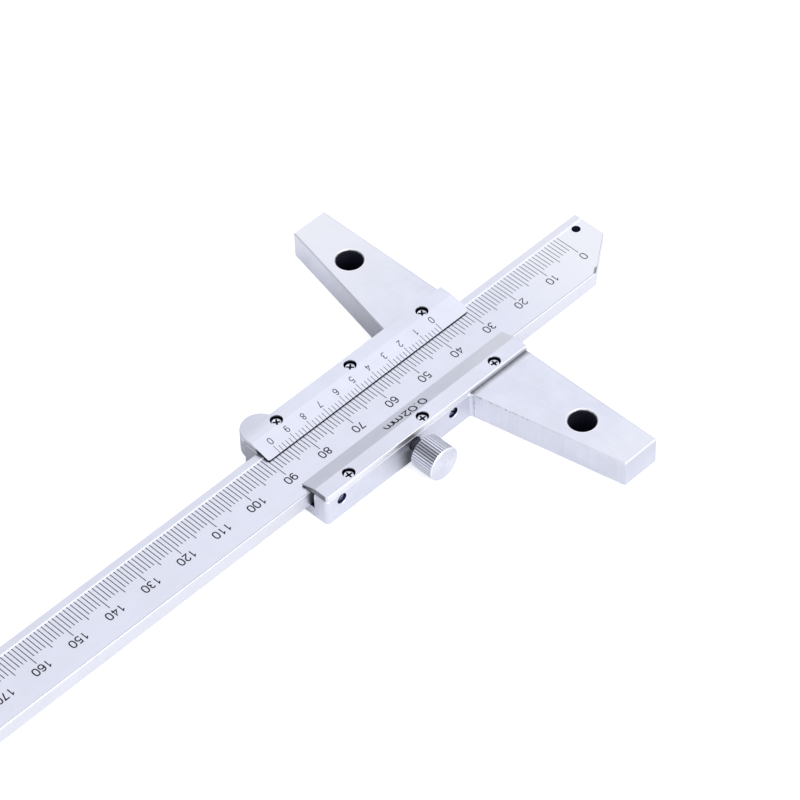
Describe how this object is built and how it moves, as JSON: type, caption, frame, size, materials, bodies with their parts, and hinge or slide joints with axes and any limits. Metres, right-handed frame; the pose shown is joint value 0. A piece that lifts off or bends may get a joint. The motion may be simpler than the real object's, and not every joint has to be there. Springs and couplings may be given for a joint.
{
  "type": "vernier depth gauge",
  "caption": "Vernier depth gauge: a graduated steel beam slides through a flat T-shaped base, is read against a bevelled vernier plate and is held by a knurled clamp screw.",
  "frame": {"origin": "centre of the measuring face of the base, half-way between its two ends and its two flat sides", "axes": "+X along the beam towards its measuring tip, +Y towards the vernier plate, +Z out of the graduated face"},
  "size_m": [0.285, 0.1, 0.009],
  "materials": {
    "body_steel": "fine ground stainless steel",
    "beam_steel": "satin stainless steel",
    "plate_steel": "satin chromed steel",
    "gib_steel": "ground spring steel",
    "screw_steel": "bright turned steel",
    "knob_steel": "knurled and turned steel"
  },
  "bodies": {
    "slider": {"base_and_slider": "body_steel", "vernier_plate": "plate_steel", "cover_plate": "plate_steel", "gib": "gib_steel", "gib_screw_front": "screw_steel", "gib_screw_rear": "screw_steel", "vernier_screw_front": "screw_steel", "vernier_screw_middle": "screw_steel", "vernier_screw_rear": "screw_steel", "cover_screw_front": "screw_steel", "cover_screw_middle": "screw_steel", "cover_screw_rear": "screw_steel"},
    "measuring_beam": {"beam": "beam_steel"},
    "clamp": {"clamp_screw": "knob_steel"}
  },
  "joints": [
    {"name": "beam_slide", "type": "slide", "parent": "slider", "child": "measuring_beam", "axis": [1, 0, 0], "range_m": [-0.0377, 0.1623]},
    {"name": "clamp_turn", "type": "hinge", "parent": "slider", "child": "clamp", "pos_m": [-0.03455, -0.015, 0.00135], "axis": [0, -1, 0], "range_deg": [0, 360]}
  ]
}
